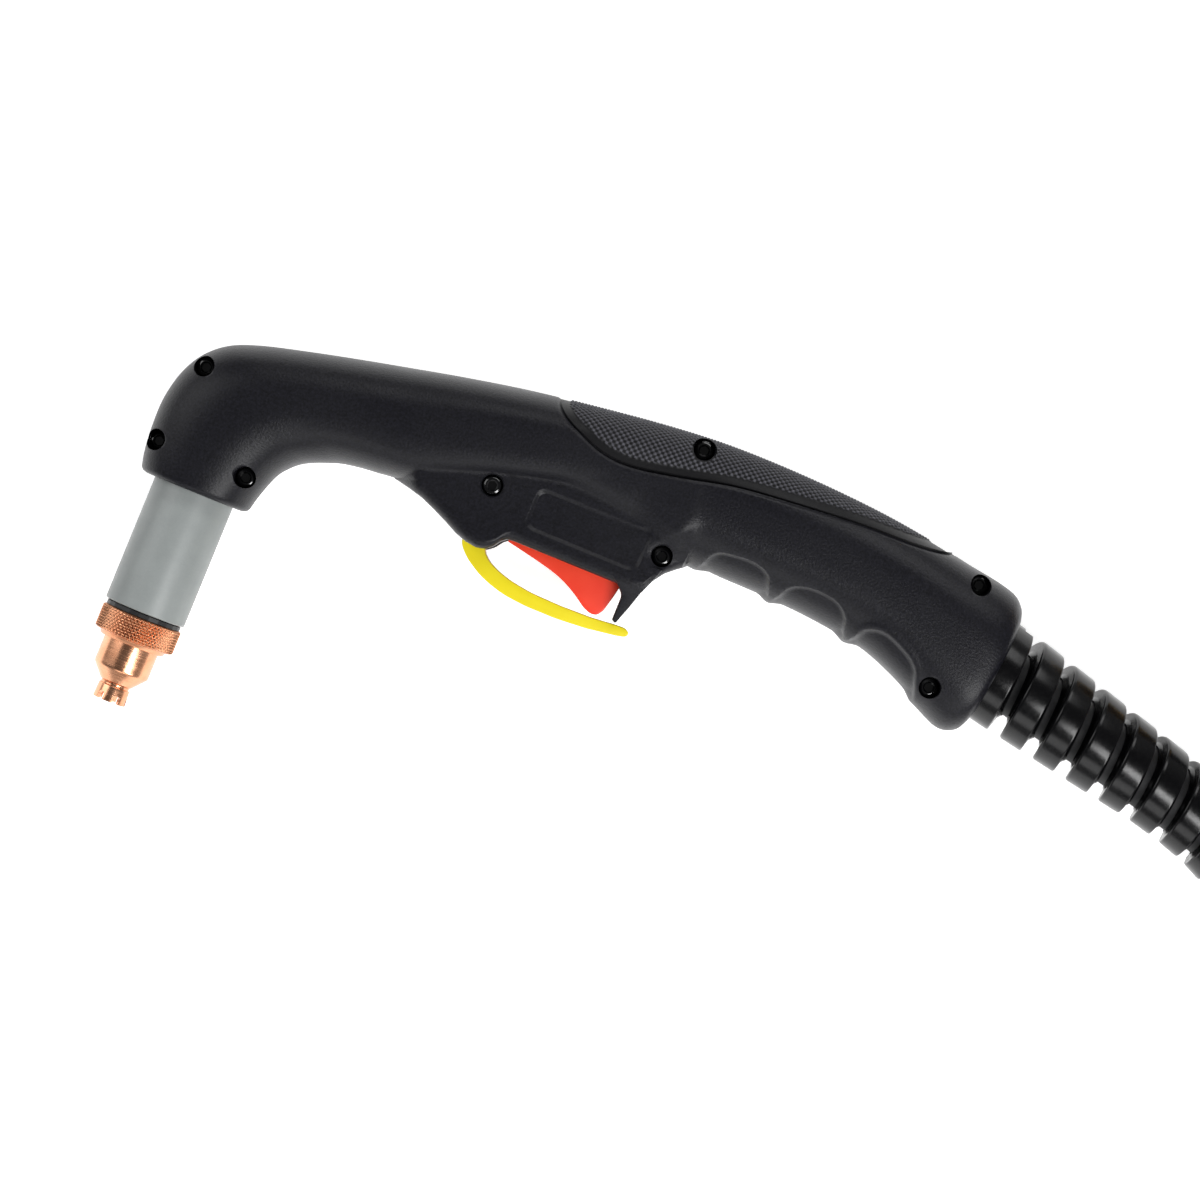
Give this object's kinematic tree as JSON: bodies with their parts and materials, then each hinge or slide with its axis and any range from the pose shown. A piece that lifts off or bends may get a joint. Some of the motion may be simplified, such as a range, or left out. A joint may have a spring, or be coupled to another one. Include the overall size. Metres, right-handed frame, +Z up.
{
  "type": "hand cutting torch",
  "caption": "Hand torch with a curved two-shell handle, sprung trigger and flip safety lever, copper nozzle and screw cap, spiral bend guard and coiled lead with a connector.",
  "frame": {"origin": "centre of the bottom of the torch's box, without the lead, as it lies on its right side", "axes": "+X back along the handle towards the lead, +Y up the head's axis away from the nozzle, +Z up through the torch's left side"},
  "size_m": [0.5542, 0.2392, 0.038],
  "materials": {
    "handle": "black, finely grained moulding",
    "pad": "dark grey, with a raised grip texture",
    "screw": "black oxide, semi-gloss",
    "sleeve": "grey phenolic, satin",
    "moulding": "black, satin",
    "seal": "black, smooth",
    "copper": "copper, finely turned",
    "brass": "turned",
    "swirl": "brown high-temperature moulding",
    "insert": "brown phenolic",
    "trigger": "red, satin gloss",
    "lever": "yellow, satin gloss",
    "steel": "plain",
    "switch": "black, satin",
    "plunger": "white",
    "wire": "smooth insulation",
    "tube": "dark red hose",
    "guard": "black, glossy",
    "lead": "black jacket, matte",
    "tie": "black hook and loop strap"
  },
  "bodies": {
    "handle": {"handle_left": "handle", "handle_right": "handle", "grip_pad_left": "pad", "grip_pad_right": "pad", "handle_screw_1": "screw", "handle_screw_2": "screw", "handle_screw_3": "screw", "handle_screw_4": "screw", "handle_screw_5": "screw", "handle_screw_6": "screw", "handle_screw_7": "screw", "handle_screw_8": "screw", "head_sleeve": "sleeve", "head_neck": "moulding", "head_moulding": "moulding", "anode_body": "brass", "cathode_body": "brass", "electrode": "copper", "swirl_ring": "swirl", "o_ring": "seal", "trigger_pin": "steel", "lever_pin": "steel", "switch_case": "switch", "switch_lead_1": "wire", "switch_lead_2": "wire", "gas_power_tube": "tube", "pilot_wire": "wire", "cable_clamp": "brass", "bend_guard": "guard", "cable": "lead", "cable_coil": "lead", "cable_end": "lead", "cable_tie_1": "tie", "cable_tie_2": "tie", "connector_boot": "guard", "connector_body": "switch", "connector_insert": "insert", "gas_power_plug": "brass", "control_pin_1": "brass", "control_pin_2": "brass", "control_pin_3": "brass", "control_pin_4": "brass"},
    "trigger": {"trigger": "trigger", "trigger_spring": "steel"},
    "plunger": {"switch_plunger": "plunger"},
    "lever": {"safety_lever": "lever", "lever_spring": "steel"},
    "nozzle": {"nozzle": "copper"},
    "cap": {"retaining_cap": "copper"},
    "nut": {"connector_nut": "brass"}
  },
  "joints": [
    {"name": "trigger_pull", "type": "hinge", "parent": "handle", "child": "trigger", "pos_m": [-0.0141, 0.02155, 0.0175], "axis": [0, 0, 1], "range_deg": [0, 8], "stiffness_Nm_per_rad": 0.15, "springref_deg": -17.19},
    {"name": "plunger_press", "type": "slide", "parent": "handle", "child": "plunger", "axis": [0, 1, 0], "range_m": [0, 0.0015]},
    {"name": "safety_flip", "type": "hinge", "parent": "handle", "child": "lever", "pos_m": [-0.0245, 0.01635, 0.0175], "axis": [0, 0, 1], "range_deg": [-45, 0], "stiffness_Nm_per_rad": 0.02, "springref_deg": 17.19},
    {"name": "nozzle_slide", "type": "slide", "parent": "handle", "child": "nozzle", "axis": [0, -1, 0], "range_m": [0, 0.0038]},
    {"name": "cap_spin", "type": "hinge", "parent": "nozzle", "child": "cap", "pos_m": [-0.0961, -0.04045, 0.0175], "axis": [0, -1, 0], "range_deg": [0, 1080]},
    {"name": "nut_turn", "type": "hinge", "parent": "handle", "child": "nut", "pos_m": [0.18472, 0.11758, 0.01905], "axis": [-0.9537, -0.3008, 0], "continuous": true}
  ],
  "couplings": [
    {"joint": "plunger_press", "follows": "trigger_pull", "m_per_rad": 0.0095},
    {"joint": "nozzle_slide", "follows": "cap_spin", "m_per_rad": 0.00019894}
  ]
}
